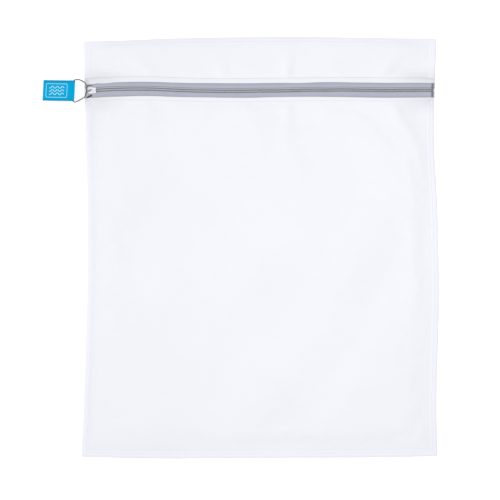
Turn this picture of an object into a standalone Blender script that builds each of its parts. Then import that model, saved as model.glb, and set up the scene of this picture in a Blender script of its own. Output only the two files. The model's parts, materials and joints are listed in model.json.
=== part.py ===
"""Mesh laundry bag, lying flat on its back with its zip closed.

Frame: metres. +X runs across the bag to its right, +Y up the bag to its top seam, and +Z out of
its front. The origin is the middle of the back panel's underside, on the surface it lies on.

The zip closes towards -X. Opening it moves the slider to +X, and the strip of cloth above the zip,
the flap, folds up about its sewn top edge. The flap is one sheet, and so are its hem, its tape and
its coil. Each is cut here into a middle, which turns, and two ends, which stay sewn to the sides.
"""

import math

import bmesh
import bpy
from mathutils import Matrix, Vector

# Bag
BAG_WIDTH = 0.500
BAG_LENGTH = 0.598
CLOTH = 0.0003
SEAM_WIDTH = 0.010
INNER_HEIGHT = 0.0042
GAP = 0.0003

# Zip
ZIP_BELOW_TOP = 0.0755
COIL_INNER = 0.0008
COIL_OUTER = 0.0020
COIL_THICKNESS = 0.0013
TAPE_INNER = 0.0023
TAPE_THICKNESS = 0.0004
TAPE_BELOW = 0.0116
TAPE_ABOVE = 0.0148
HEM_WIDTH = 0.0030
HEM_THICKNESS = 0.0004
STOP_LENGTH = 0.0022
END_BINDING = (0.0050, 0.0190, 0.0005)
BINDING_FROM_EDGE = 0.0025
BINDING_ABOVE_CHAIN = 0.0002

# Flap
FLAP_END_LENGTH = 0.0600

# Slider: the nose is its wide end, at -X, where the two coils part. Its shoulder and its waist are
# where its sides begin and end their slope from one width to the other.
SLIDER_LENGTH = 0.0120
SLIDER_TAIL_HALF = 0.0040
SLIDER_NOSE_HALF = 0.0046
SLIDER_NOTCH = 0.0010
SLIDER_LOBE_RADIUS = 0.0022
SLIDER_LOBE_START = math.radians(215)
SLIDER_SHOULDER = 0.0052
SLIDER_WAIST = 0.0080
SLIDER_TAIL_RADIUS = 0.0009
SLIDER_PLATE = 0.0008
SLIDER_ROUNDING = 0.0002
SLIDER_FLANGE = 0.0010
SLIDER_FLANGE_START = 0.0024
SLIDER_FLANGE_END = 0.0008
SLIDER_POST = (0.0014, 0.0046)
SLIDER_POST_HALF = 0.0005
SLIDER_FROM_EDGE = 0.0093
CROWN_WIDTH = 0.0016
CROWN_BAR = 0.0009
CROWN_LENGTH = 0.0062
CROWN_HEIGHT = 0.0029
CROWN_ROUND = 0.0018
CROWN_EDGE = 0.0002
CROWN_FROM_MIDDLE = 0.0020

# Pull tab, whose free end is curled round the ring's wire
TAB_PLATE = 0.0007
TAB_WIDTH = 0.0048
TAB_CURL_WIDTH = 0.0028
TAB_SHOULDERS = (-0.0058, -0.0066)
TAB_WINDOW_WIDTH = 0.0032
TAB_WINDOW_LENGTH = 0.0048
TAB_BAR = 0.0010
TAB_CORNER = 0.0009
TAB_WINDOW_CORNER = 0.0005
TAB_EDGE = 0.00015
TAB_ABOVE_SLIDER = 0.0004
TAB_FROM_CROWN = -0.0010
TAB_REACH = 0.0082
TAB_YAW = math.radians(10)
TAB_CURL_GAP = 0.0008
TAB_CURL_END = math.radians(105)

# Ring and label. The ring is a D of bent wire, a little out of true. Its bends are places on the
# wire's centreline, from where the tab holds it, and run from the bar's upper end to its lower end.
WIRE_RADIUS = 0.00075
RING_BAR = (-0.01827, -0.00031)
RING_BAR_HALF = 0.0142
RING_BENDS = (
    (-0.01690, 0.01530),
    (-0.01430, 0.01608),
    (-0.01007, 0.01550),
    (-0.00537, 0.01360),
    (-0.00130, 0.01040),
    (0.00045, 0.00690),
    (0.00035, 0.00330),
    (0.0, 0.0),
    (-0.00050, -0.00450),
    (-0.00210, -0.00830),
    (-0.00645, -0.01165),
    (-0.01130, -0.01451),
    (-0.01462, -0.01615),
    (-0.01695, -0.01600),
)
RING_YAW = math.radians(-3)
RING_DROOP = math.radians(-3)
LABEL_LENGTH = 0.0440
LABEL_WIDTH = 0.0290
LABEL_THICKNESS = 0.0012
LABEL_WALL = 0.0006
LABEL_DROOP = math.radians(1.5)
LABEL_THREAD = (-0.0042, -0.0034)
LABEL_THREAD_INSET = 0.0010

# Sewing thread, laid as one flat strip for each row of stitches
THREAD_WIDTH = 0.0006
THREAD_HEIGHT = 0.0003
THREAD_INSET = 0.0070
HEM_THREAD_OFFSET = 0.0024

# Rounded edges of the soft solids
SEAM_ROUNDING = 0.0008
COIL_ROUNDING = 0.0003
STOP_ROUNDING = 0.0002
BINDING_ROUNDING = 0.0001

# Heights, from the surface up
COIL_LOW = CLOTH + INNER_HEIGHT
COIL_TOP = COIL_LOW + COIL_THICKNESS
MID_HEIGHT = COIL_LOW + COIL_THICKNESS / 2
TAPE_LOW = MID_HEIGHT - TAPE_THICKNESS / 2
TAPE_TOP = MID_HEIGHT + TAPE_THICKNESS / 2
FRONT_LOW = MID_HEIGHT - CLOTH / 2
FRONT_TOP = MID_HEIGHT + CLOTH / 2
THREAD_LOW = FRONT_TOP + GAP
PLATE_LOW = COIL_TOP + GAP
PLATE_TOP = PLATE_LOW + SLIDER_PLATE
BOTTOM_PLATE_TOP = COIL_LOW - GAP
BOTTOM_PLATE_LOW = BOTTOM_PLATE_TOP - SLIDER_PLATE
TAB_LOW = PLATE_TOP + TAB_ABOVE_SLIDER
TAB_MID = TAB_LOW + TAB_PLATE / 2

# Places across and along the bag
SIDE = BAG_WIDTH / 2
END = BAG_LENGTH / 2
INSIDE = SIDE - SEAM_WIDTH
ZIP_Y = END - ZIP_BELOW_TOP
TOP_SEAM_Y = END - SEAM_WIDTH
FLAP_END_X = SIDE - FLAP_END_LENGTH
SLIDER_X = -SIDE + SLIDER_FROM_EDGE
CROWN_X = SLIDER_X + CROWN_FROM_MIDDLE
TAB_PIVOT = Vector((CROWN_X + TAB_FROM_CROWN, ZIP_Y, TAB_MID))
RING_IN_TAB = Vector((-TAB_REACH, 0.0, TAB_PLATE / 2 + GAP + WIRE_RADIUS))

COLLECTION = "mesh_laundry_bag"
CUTTERS = "cutters"


# Scene and materials


def clear_scene():
    for thing in list(bpy.data.objects):
        bpy.data.objects.remove(thing, do_unlink=True)


def make_collection(name):
    collection = bpy.data.collections.new(name)
    bpy.context.scene.collection.children.link(collection)
    return collection


def link(thing, name=COLLECTION):
    bpy.data.collections[name].objects.link(thing)
    return thing


def make_material(name, colour, roughness, metallic=0.0):
    material = bpy.data.materials.new(name)
    material.use_nodes = True
    shader = material.node_tree.nodes["Principled BSDF"]
    shader.inputs["Base Color"].default_value = (*colour, 1.0)
    shader.inputs["Roughness"].default_value = roughness
    shader.inputs["Metallic"].default_value = metallic
    material.diffuse_color = (*colour, 1.0)
    return material


def make_materials():
    return {
        "mesh": make_material("white_mesh", (0.90, 0.91, 0.95), 0.80),
        "seam": make_material("folded_mesh", (0.86, 0.87, 0.93), 0.85),
        "thread": make_material("white_thread", (0.88, 0.88, 0.92), 0.70),
        "tape": make_material("grey_tape", (0.48, 0.50, 0.56), 0.85),
        "coil": make_material("grey_nylon", (0.24, 0.24, 0.28), 0.45),
        "paint": make_material("white_paint", (0.88, 0.88, 0.92), 0.30, 0.1),
        "wire": make_material("bright_wire", (0.42, 0.40, 0.38), 0.25, 1.0),
        "label": make_material("blue_ribbon", (0.01, 0.36, 0.70), 0.60),
    }


# Shapes


def add_box(name, low, high, material, bevel=0.0):
    low = Vector(low)
    high = Vector(high)
    mesh = bpy.data.meshes.new(name)
    shape = bmesh.new()
    bmesh.ops.create_cube(shape, size=1.0)
    bmesh.ops.scale(shape, vec=high - low, verts=shape.verts)
    shape.to_mesh(mesh)
    shape.free()
    mesh.materials.append(material)
    box = link(bpy.data.objects.new(name, mesh))
    box.location = (low + high) / 2
    if bevel:
        add_bevel(box, bevel)
    return box


def add_bevel(thing, width, segments=1):
    bevel = thing.modifiers.new("bevel", "BEVEL")
    bevel.width = width
    bevel.segments = segments
    bevel.limit_method = "ANGLE"
    bevel.angle_limit = math.radians(35)
    return bevel


def arc(centre, radius, start, stop, steps):
    """Points on an arc in a plane, from angle start to angle stop."""
    points = []
    for step in range(steps + 1):
        angle = start + (stop - start) * step / steps
        points.append((centre[0] + radius * math.cos(angle), centre[1] + radius * math.sin(angle)))
    return points


def outline_solid(name, outlines, thickness, material, upright=False):
    """A flat outline, with any holes, made into a plate about its own plane.

    A flat plate lies in XY. An upright one has its outline in XZ and its thickness along Y.
    """
    curve = bpy.data.curves.new(name, "CURVE")
    curve.dimensions = "2D"
    curve.fill_mode = "BOTH"
    curve.extrude = thickness / 2
    for outline in outlines:
        spline = curve.splines.new("POLY")
        spline.points.add(len(outline) - 1)
        for point, (x, y) in zip(spline.points, outline):
            point.co = (x, y, 0.0, 1.0)
        spline.use_cyclic_u = True
    flat = link(bpy.data.objects.new(name, curve))
    solid = as_mesh(flat, name)
    if upright:
        solid.data.transform(Matrix.Rotation(math.pi / 2, 4, "X"))
    solid.data.materials.append(material)
    return solid


def as_mesh(curve_object, name):
    """The closed mesh of a curve object, in its place."""
    bpy.context.view_layer.update()
    evaluated = curve_object.evaluated_get(bpy.context.evaluated_depsgraph_get())
    mesh = bpy.data.meshes.new_from_object(evaluated)
    shape = bmesh.new()
    shape.from_mesh(mesh)
    bmesh.ops.remove_doubles(shape, verts=shape.verts, dist=0.00001)
    bmesh.ops.recalc_face_normals(shape, faces=shape.faces)
    shape.to_mesh(mesh)
    shape.free()
    solid = bpy.data.objects.new(name, mesh)
    solid.matrix_world = curve_object.matrix_world
    bpy.data.objects.remove(curve_object, do_unlink=True)
    solid.name = name
    return link(solid)


def make_cutter(cutter):
    """Moves a solid to the cutters, where it isn't part of the bag."""
    bpy.data.collections[COLLECTION].objects.unlink(cutter)
    link(cutter, CUTTERS)
    cutter.hide_render = True
    cutter.display_type = "WIRE"
    return cutter


def combine(thing, cutter, operation):
    boolean = thing.modifiers.new(operation.lower(), "BOOLEAN")
    boolean.operation = operation
    boolean.object = make_cutter(cutter)
    boolean.solver = "EXACT"
    return thing


def shade_round(thing):
    thing.data.shade_smooth()
    thing.data.set_sharp_from_angle(angle=math.radians(40))
    return thing


def add_pivot(name, place, turn=(0.0, 0.0, 0.0), parent=None):
    """An empty on a joint's axis. A pivot under another one is placed in that one's frame."""
    pivot = link(bpy.data.objects.new(name, None))
    pivot.location = place
    pivot.rotation_euler = turn
    pivot.parent = parent
    return pivot


# Bag body


def make_panels(mats):
    add_box("back_panel", (-SIDE, -END, 0.0), (SIDE, END, CLOTH), mats["mesh"])
    add_box(
        "front_panel",
        (-INSIDE + GAP, -TOP_SEAM_Y + GAP, FRONT_LOW),
        (INSIDE - GAP, ZIP_Y - TAPE_BELOW - GAP, FRONT_TOP),
        mats["mesh"],
    )


def make_side_seam(name, side, mats):
    """The folded edges of both panels, cut away where the end of the zip passes through."""
    low = Vector((-SIDE, -END, CLOTH + GAP))
    high = Vector((-INSIDE, END, FRONT_TOP))
    seam = add_box(name, low, high, mats["seam"], bevel=SEAM_ROUNDING)
    notch = add_box(
        f"{name}_notch",
        (low.x - SEAM_WIDTH, ZIP_Y - TAPE_BELOW - GAP, BOTTOM_PLATE_LOW - GAP),
        (high.x + SEAM_WIDTH, ZIP_Y + TAPE_ABOVE + GAP, high.z + SEAM_WIDTH),
        mats["seam"],
    )
    for box in (seam, notch):
        box.location.x *= -side
    combine(seam, notch, "DIFFERENCE")


def make_end_seam(name, low_y, mats):
    add_box(
        name,
        (-INSIDE + GAP, low_y, CLOTH + GAP),
        (INSIDE - GAP, low_y + SEAM_WIDTH - GAP, FRONT_TOP),
        mats["seam"],
        bevel=SEAM_ROUNDING,
    )


def make_seams(mats):
    make_side_seam("side_seam_left", -1, mats)
    make_side_seam("side_seam_right", 1, mats)
    make_end_seam("bottom_seam", -END, mats)
    make_end_seam("top_seam", TOP_SEAM_Y + GAP, mats)


def make_thread(name, low_x, high_x, low_y, high_y, mats):
    low = (low_x, low_y, THREAD_LOW)
    high = (high_x, high_y, THREAD_LOW + THREAD_HEIGHT)
    return add_box(name, low, high, mats["thread"])


def make_seam_threads(mats):
    """One row of stitches inside each edge. The side rows stop at the zip."""
    x = SIDE - THREAD_INSET
    y = END - THREAD_INSET
    row_top = ZIP_Y - TAPE_BELOW - GAP
    half = THREAD_WIDTH / 2
    make_thread("seam_thread_left", -x - half, -x + half, -y, row_top, mats)
    make_thread("seam_thread_right", x - half, x + half, -y, row_top, mats)
    run = INSIDE - 2 * GAP
    make_thread("seam_thread_bottom", -run, run, -y - half, -y + half, mats)
    make_thread("seam_thread_top", -run, run, y - half, y + half, mats)


def make_lower_zip(mats):
    """The half of the zip that is sewn to the front panel."""
    reach = SIDE - GAP
    coil_left = -SIDE + STOP_LENGTH + 2 * GAP
    add_box(
        "zip_tape_lower",
        (-reach, ZIP_Y - TAPE_BELOW, TAPE_LOW),
        (reach, ZIP_Y - TAPE_INNER, TAPE_TOP),
        mats["tape"],
    )
    add_box(
        "zip_coil_lower",
        (coil_left, ZIP_Y - COIL_OUTER, COIL_LOW),
        (-coil_left, ZIP_Y - COIL_INNER, COIL_TOP),
        mats["coil"],
        bevel=COIL_ROUNDING,
    )
    hem_high = ZIP_Y - TAPE_BELOW + HEM_WIDTH
    hem_low_z = TAPE_TOP + GAP
    add_box(
        "front_hem",
        (-reach, ZIP_Y - TAPE_BELOW, hem_low_z),
        (reach, hem_high, hem_low_z + HEM_THICKNESS),
        mats["seam"],
    )
    row = ZIP_Y - TAPE_BELOW - HEM_THREAD_OFFSET
    run = INSIDE - 2 * GAP
    make_thread("front_hem_thread", -run, run, row - THREAD_WIDTH, row, mats)


def make_zip_ends(mats):
    """Thread tacks that stop the slider, and the folded dark end of the tape at the right."""
    for name, side in (("zip_stop_left", -1), ("zip_stop_right", 1)):
        inner = SIDE - STOP_LENGTH
        outer = SIDE - GAP
        add_box(
            name,
            (min(side * inner, side * outer), ZIP_Y - COIL_OUTER, COIL_LOW),
            (max(side * inner, side * outer), ZIP_Y + COIL_OUTER, COIL_TOP),
            mats["thread"],
            bevel=STOP_ROUNDING,
        )
    length, width, thickness = END_BINDING
    right = SIDE - BINDING_FROM_EDGE
    middle = ZIP_Y + BINDING_ABOVE_CHAIN
    low_z = COIL_TOP + 2 * GAP
    add_box(
        "zip_end_binding",
        (right - length, middle - width / 2, low_z),
        (right, middle + width / 2, low_z + thickness),
        mats["coil"],
        bevel=BINDING_ROUNDING,
    )


# Flap and the half of the zip that is sewn to it


def make_flap_part(part, low_x, high_x, mats):
    """One of the three lengths of the flap, with its hem, stitches, tape and coil."""
    tape_high = ZIP_Y + TAPE_ABOVE
    hem_low_z = TAPE_TOP + GAP
    inner_low = max(low_x, -INSIDE + 2 * GAP)
    inner_high = min(high_x, INSIDE - 2 * GAP)
    coil_end = SIDE - STOP_LENGTH - 2 * GAP
    coil_low = max(low_x, -coil_end)
    coil_high = min(high_x, coil_end)
    row = tape_high + HEM_THREAD_OFFSET
    return [
        add_box(
            f"flap_{part}",
            (inner_low, tape_high + GAP, FRONT_LOW),
            (inner_high, TOP_SEAM_Y - GAP, FRONT_TOP),
            mats["mesh"],
        ),
        add_box(
            f"flap_hem_{part}",
            (low_x, tape_high - HEM_WIDTH, hem_low_z),
            (high_x, tape_high, hem_low_z + HEM_THICKNESS),
            mats["seam"],
        ),
        make_thread(f"flap_hem_thread_{part}", inner_low, inner_high, row, row + THREAD_WIDTH, mats),
        add_box(
            f"zip_tape_upper_{part}",
            (low_x, ZIP_Y + TAPE_INNER, TAPE_LOW),
            (high_x, tape_high, TAPE_TOP),
            mats["tape"],
        ),
        add_box(
            f"zip_coil_upper_{part}",
            (coil_low, ZIP_Y + COIL_INNER, COIL_LOW),
            (coil_high, ZIP_Y + COIL_OUTER, COIL_TOP),
            mats["coil"],
            bevel=COIL_ROUNDING,
        ),
    ]


def make_flap(mats):
    reach = SIDE - GAP
    make_flap_part("left_end", -reach, -FLAP_END_X - GAP / 2, mats)
    make_flap_part("right_end", FLAP_END_X + GAP / 2, reach, mats)
    pivot = add_pivot("flap_pivot", (0.0, TOP_SEAM_Y, MID_HEIGHT))
    for piece in make_flap_part("middle", -FLAP_END_X + GAP / 2, FLAP_END_X - GAP / 2, mats):
        piece.parent = pivot
        piece.location -= pivot.location


# Slider, pull tab, ring and label


def slider_outline():
    """Outline of the slider: two rounded lobes at the nose, sloping shoulders and a straight tail."""
    nose = -SLIDER_LENGTH / 2
    tail = SLIDER_LENGTH / 2
    quarter = math.pi / 2
    lobe = (nose + SLIDER_LOBE_RADIUS, SLIDER_NOSE_HALF - SLIDER_LOBE_RADIUS)
    corner = (tail - SLIDER_TAIL_RADIUS, SLIDER_TAIL_HALF - SLIDER_TAIL_RADIUS)
    upper = [(nose + SLIDER_NOTCH, 0.0)]
    upper += arc(lobe, SLIDER_LOBE_RADIUS, SLIDER_LOBE_START, quarter, 10)
    upper += [(nose + SLIDER_SHOULDER, SLIDER_NOSE_HALF), (nose + SLIDER_WAIST, SLIDER_TAIL_HALF)]
    upper += arc(corner, SLIDER_TAIL_RADIUS, quarter, 0.0, 5)
    lower = [(x, -y) for x, y in reversed(upper[1:])]
    return upper + lower


def slider_plate(name, low_z, high_z, mats):
    plate = outline_solid(name, [slider_outline()], high_z - low_z, mats["paint"])
    plate.location = (SLIDER_X, ZIP_Y, (low_z + high_z) / 2)
    add_bevel(plate, SLIDER_ROUNDING, 2)
    return plate


def slider_block(name, low, high, mats):
    """A block placed from the slider's middle, with heights from the surface up."""
    place = Vector((SLIDER_X, ZIP_Y, 0.0))
    return add_box(name, place + Vector(low), place + Vector(high), mats["paint"])


def make_slider_body(parent, mats):
    """Two plates joined by the post between the coils, each with flanges that hold the coils in."""
    body = slider_plate("slider_body", PLATE_LOW, PLATE_TOP, mats)
    combine(body, slider_plate("bottom_plate", BOTTOM_PLATE_LOW, BOTTOM_PLATE_TOP, mats), "UNION")
    overlap = SLIDER_PLATE / 2
    nose = -SLIDER_LENGTH / 2
    post = slider_block(
        "post",
        (nose + SLIDER_POST[0], -SLIDER_POST_HALF, BOTTOM_PLATE_TOP - overlap),
        (nose + SLIDER_POST[1], SLIDER_POST_HALF, PLATE_LOW + overlap),
        mats,
    )
    combine(body, post, "UNION")
    heights = (
        (BOTTOM_PLATE_TOP - overlap, TAPE_LOW - GAP),
        (TAPE_TOP + GAP, PLATE_LOW + overlap),
    )
    for side in (-1, 1):
        for low_z, high_z in heights:
            inner = side * (SLIDER_TAIL_HALF - SLIDER_FLANGE)
            outer = side * SLIDER_TAIL_HALF
            flange = slider_block(
                "flange",
                (nose + SLIDER_FLANGE_START, min(inner, outer), low_z),
                (-nose - SLIDER_FLANGE_END, max(inner, outer), high_z),
                mats,
            )
            combine(body, flange, "UNION")
    body.parent = parent
    return shade_round(body)


def make_slider_crown(parent, mats):
    """The bridge on the top plate that the pull tab's end bar lies under."""
    half = CROWN_LENGTH / 2
    inner_half = half - CROWN_BAR
    round_in = CROWN_ROUND - CROWN_BAR
    centre_z = CROWN_HEIGHT - CROWN_ROUND
    quarter = math.pi / 2
    outline = [(half, 0.0)]
    outline += arc((half - CROWN_ROUND, centre_z), CROWN_ROUND, 0.0, quarter, 8)
    outline += arc((-half + CROWN_ROUND, centre_z), CROWN_ROUND, quarter, 2 * quarter, 8)
    outline += [(-half, 0.0), (-inner_half, 0.0)]
    outline += arc((-inner_half + round_in, centre_z), round_in, 2 * quarter, quarter, 6)
    outline += arc((inner_half - round_in, centre_z), round_in, quarter, 0.0, 6)
    outline += [(inner_half, 0.0)]
    crown = outline_solid("slider_crown", [outline], CROWN_WIDTH, mats["paint"], upright=True)
    crown.location = (CROWN_X, ZIP_Y, PLATE_TOP + GAP)
    add_bevel(crown, CROWN_EDGE, 2)
    crown.parent = parent
    return shade_round(crown)


def rounded_plan(low, high, corner):
    """The outline of a block with round corners, seen from above."""
    quarter = math.pi / 2
    corners = (
        (high[0] - corner, high[1] - corner),
        (low[0] + corner, high[1] - corner),
        (low[0] + corner, low[1] + corner),
        (high[0] - corner, low[1] + corner),
    )
    outline = []
    for number, centre in enumerate(corners):
        outline += arc(centre, corner, number * quarter, (number + 1) * quarter, 5)
    return outline


def tab_plan(far_x):
    """The tab seen from above: round corners at its end bar, and shoulders down to its curled end."""
    wide = TAB_WIDTH / 2
    narrow = TAB_CURL_WIDTH / 2
    near_x, end_x = TAB_SHOULDERS
    corner = (TAB_BAR / 2 - TAB_CORNER, wide - TAB_CORNER)
    upper = arc(corner, TAB_CORNER, 0.0, math.pi / 2, 5)
    upper += [(near_x, wide), (end_x, narrow), (far_x, narrow)]
    lower = [(x, -y) for x, y in reversed(upper)]
    return upper + lower


def make_pull_tab(pivot, mats):
    """A plate with a window, curled up at its far end under and round the ring's wire.

    Its outline is in the pivot's frame, where the middle of its end bar is the origin.
    """
    half = TAB_PLATE / 2
    inner = WIRE_RADIUS + TAB_CURL_GAP
    outer = inner + TAB_PLATE
    curl = (-TAB_REACH, half + inner)
    bottom = 1.5 * math.pi
    side = [(TAB_BAR / 2, half), (TAB_BAR / 2, -half)]
    side += arc(curl, outer, bottom, TAB_CURL_END, 18)
    side += arc(curl, inner, TAB_CURL_END, bottom, 16)
    tab = outline_solid("pull_tab", [side], TAB_WIDTH, mats["paint"], upright=True)
    plan = outline_solid("tab_plan", [tab_plan(curl[0] - 2 * outer)], 2 * TAB_WIDTH, mats["paint"])
    hole = rounded_plan(
        (-TAB_BAR / 2 - TAB_WINDOW_LENGTH, -TAB_WINDOW_WIDTH / 2),
        (-TAB_BAR / 2, TAB_WINDOW_WIDTH / 2),
        TAB_WINDOW_CORNER,
    )
    window = outline_solid("tab_window", [hole], 2 * TAB_WIDTH, mats["paint"])
    combine(tab, plan, "INTERSECT")
    combine(tab, window, "DIFFERENCE")
    add_bevel(tab, TAB_EDGE)
    for solid in (tab, plan, window):
        solid.parent = pivot
    return shade_round(tab)


def bend_through(places, first, last, steps):
    """Points on a smooth curve through the given places, which sets out and ends in given directions."""
    ahead = [first]
    for before, after in zip(places, places[2:]):
        ahead.append((after - before).normalized())
    ahead.append(last)
    points = []
    for number in range(len(places) - 1):
        start, stop = places[number], places[number + 1]
        run = (stop - start).length
        for step in range(steps):
            t = step / steps
            blend = t * t * (3 - 2 * t)
            out = run * t * (1 - t) ** 2
            back = run * t * t * (t - 1)
            points.append(start.lerp(stop, blend) + ahead[number] * out + ahead[number + 1] * back)
    return points + [places[-1]]


def ring_points():
    """The ring's centreline: round through its bends, then straight back along its bar."""
    bar = Vector(RING_BAR)
    half = Vector((0.0, RING_BAR_HALF))
    up = Vector((0.0, 1.0))
    places = [bar + half] + [Vector(bend) for bend in RING_BENDS] + [bar - half]
    return bend_through(places, up, up, 4)


def make_pull_ring(pivot, mats):
    curve = bpy.data.curves.new("pull_ring", "CURVE")
    curve.dimensions = "3D"
    curve.bevel_depth = WIRE_RADIUS
    curve.bevel_resolution = 3
    points = ring_points()
    spline = curve.splines.new("POLY")
    spline.points.add(len(points) - 1)
    for point, (x, y) in zip(spline.points, points):
        point.co = (x, y, 0.0, 1.0)
    spline.use_cyclic_u = True
    curve.materials.append(mats["wire"])
    ring = link(bpy.data.objects.new("pull_ring", curve))
    ring.parent = pivot
    return ring


def make_label(pivot, mats):
    """A ribbon folded round the ring's bar and sewn to itself, with an open eye for the bar."""
    half = LABEL_THICKNESS / 2
    eye = WIRE_RADIUS + GAP
    outer = eye + LABEL_WALL
    neck = math.asin(half / outer)
    far_x = outer - LABEL_LENGTH
    side = [(far_x, half), (far_x, -half)]
    side += arc((0.0, 0.0), outer, -math.pi + neck, math.pi - neck, 14)
    hole = arc((0.0, 0.0), eye, 0.0, 2 * math.pi * 11 / 12, 11)
    label = outline_solid("label_ribbon", [side, hole], LABEL_WIDTH, mats["label"], upright=True)
    label.parent = pivot
    thread = add_box(
        "label_thread",
        (LABEL_THREAD[0], -LABEL_WIDTH / 2 + LABEL_THREAD_INSET, half + GAP),
        (LABEL_THREAD[1], LABEL_WIDTH / 2 - LABEL_THREAD_INSET, half + GAP + THREAD_HEIGHT),
        mats["thread"],
    )
    thread.parent = pivot
    return shade_round(label)


def make_pull(mats):
    slider = add_pivot("slider_pivot", (0.0, 0.0, 0.0))
    make_slider_body(slider, mats)
    make_slider_crown(slider, mats)
    tab = add_pivot("tab_pivot", TAB_PIVOT, (0.0, 0.0, TAB_YAW), slider)
    make_pull_tab(tab, mats)
    turn = (0.0, RING_DROOP, RING_YAW - TAB_YAW)
    ring = add_pivot("ring_pivot", RING_IN_TAB, turn, tab)
    make_pull_ring(ring, mats)
    bar = (*RING_BAR, 0.0)
    label = add_pivot("label_pivot", bar, (0.0, LABEL_DROOP, 0.0), ring)
    make_label(label, mats)


def main():
    clear_scene()
    make_collection(COLLECTION)
    make_collection(CUTTERS)
    mats = make_materials()
    make_panels(mats)
    make_seams(mats)
    make_seam_threads(mats)
    make_lower_zip(mats)
    make_zip_ends(mats)
    make_flap(mats)
    make_pull(mats)


main()
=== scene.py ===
"""The looks of the mesh laundry bag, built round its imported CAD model.

Metres, in the CAD's own frame: +X across the bag, +Y up the bag to its top seam, +Z out of its
front. Every cloth piece is laid out on the flat cut first, as (x, y, height above the cloth), and a
place function then lays it down with the bag's bowed edges, its zip's slight wander and its folds.
"""

import json
import math

import bmesh
import bpy
import numpy as np
from mathutils import Matrix, Vector


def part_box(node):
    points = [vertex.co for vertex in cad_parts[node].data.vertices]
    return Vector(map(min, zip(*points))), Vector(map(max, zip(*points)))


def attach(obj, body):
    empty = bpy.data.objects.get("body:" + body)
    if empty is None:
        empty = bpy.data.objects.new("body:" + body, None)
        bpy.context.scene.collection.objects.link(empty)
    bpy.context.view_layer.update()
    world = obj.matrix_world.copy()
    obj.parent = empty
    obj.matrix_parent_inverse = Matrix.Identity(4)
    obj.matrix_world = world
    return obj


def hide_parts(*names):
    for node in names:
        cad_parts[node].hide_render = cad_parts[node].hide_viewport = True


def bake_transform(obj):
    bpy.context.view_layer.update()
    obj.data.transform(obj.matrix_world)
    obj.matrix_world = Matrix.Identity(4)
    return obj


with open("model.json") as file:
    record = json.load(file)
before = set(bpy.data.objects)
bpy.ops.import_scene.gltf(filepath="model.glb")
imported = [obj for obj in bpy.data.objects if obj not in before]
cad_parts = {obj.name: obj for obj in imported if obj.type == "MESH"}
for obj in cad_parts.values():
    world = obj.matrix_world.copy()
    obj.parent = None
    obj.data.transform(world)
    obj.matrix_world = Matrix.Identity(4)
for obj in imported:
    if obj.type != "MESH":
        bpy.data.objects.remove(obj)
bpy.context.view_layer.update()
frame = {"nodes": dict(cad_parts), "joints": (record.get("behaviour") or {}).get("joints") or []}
joints = {joint["name"]: joint for joint in frame["joints"]}

MM = 0.001

# The bag's flat cut, from the CAD
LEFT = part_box("side_seam_left")[0].x
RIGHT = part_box("side_seam_right")[1].x
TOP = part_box("top_seam")[1].y
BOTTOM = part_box("bottom_seam")[0].y
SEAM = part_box("side_seam_left")[1].x - LEFT
CLOTH_Z = sum(corner.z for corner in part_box("front_panel")) / 2
ZIP_Y = (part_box("zip_coil_lower")[1].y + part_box("zip_coil_upper_middle")[0].y) / 2
TAPE_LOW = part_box("zip_tape_lower")[0].y
TAPE_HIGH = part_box("zip_tape_upper_middle")[1].y
TAPE_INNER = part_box("zip_tape_upper_middle")[0].y - ZIP_Y
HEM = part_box("front_hem")[1].y - TAPE_LOW
HEM_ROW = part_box("front_hem_thread")[0].y
FLAP_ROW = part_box("flap_hem_thread_middle")[1].y
HINGE_Y = joints["mouth_open"]["pos_m"][1]

# How the bag lies: each edge's bow, as (place along it, shift to the right or up) in mm
LEFT_BOW = ((-299, -6.2), (-235, -3), (-130, 0.6), (30, 3.2), (160, 0.2), (299, -2.8))
RIGHT_BOW = ((-299, 1), (-240, -0.4), (-60, 3), (60, 0.6), (150, -4), (299, -0.5))
TOP_BOW = ((-250, -5.2), (-206, -4.2), (-120, -0.8), (30, 1.4), (170, -0.2), (250, -1.4))
BOTTOM_BOW = ((-250, 1.6), (-147, -0.8), (0, 0.1), (150, 0.7), (250, 2.4))

# How far the chain strays upward from its straight line, and how far from the chain the folded
# edges of the cloth lie, as (place along the zip, distance) in mm. The cloth within about
# WANDER_REACH of the chain strays with it.
WANDER_REACH = 45 * MM
ZIP_WANDER = (
    (-250, 0), (-232, 0.2), (-215, 1.2), (-198, 1.7), (-180, 2), (-163, 2), (-147, 1.6), (-130, 0.8),
    (-112, 0.1), (-95, -0.6), (-75, -1), (-40, -1.3), (-10, -1), (7, -0.7), (24, -0.7), (41, -0.3),
    (75, 0.4), (92, 0.4), (117, 0.8), (143, 0.4), (177, -0.1), (211, 0.2), (250, 0.2),
)
UPPER_FOLD = (
    (-250, 8.4), (-239, 8.4), (-235, 9.3), (-219, 9), (-209, 9.8), (-198, 10), (-155, 10.3),
    (-112, 10.6), (-85, 11.1), (-45, 11.3), (0, 11), (30, 11.1), (58, 10.3), (92, 11.2), (126, 10.6),
    (160, 10.8), (200, 10.6), (250, 10.3),
)
LOWER_FOLD = (
    (-250, 11), (-240, 10.4), (-230, 10.1), (-205, 10.2), (-164, 9.7), (-112, 9.3), (-85, 8.8),
    (-45, 8.9), (-10, 9.3), (24, 8.7), (58, 9.1), (92, 9.4), (117, 10), (160, 10.1), (211, 10.2),
    (250, 10),
)

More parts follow.
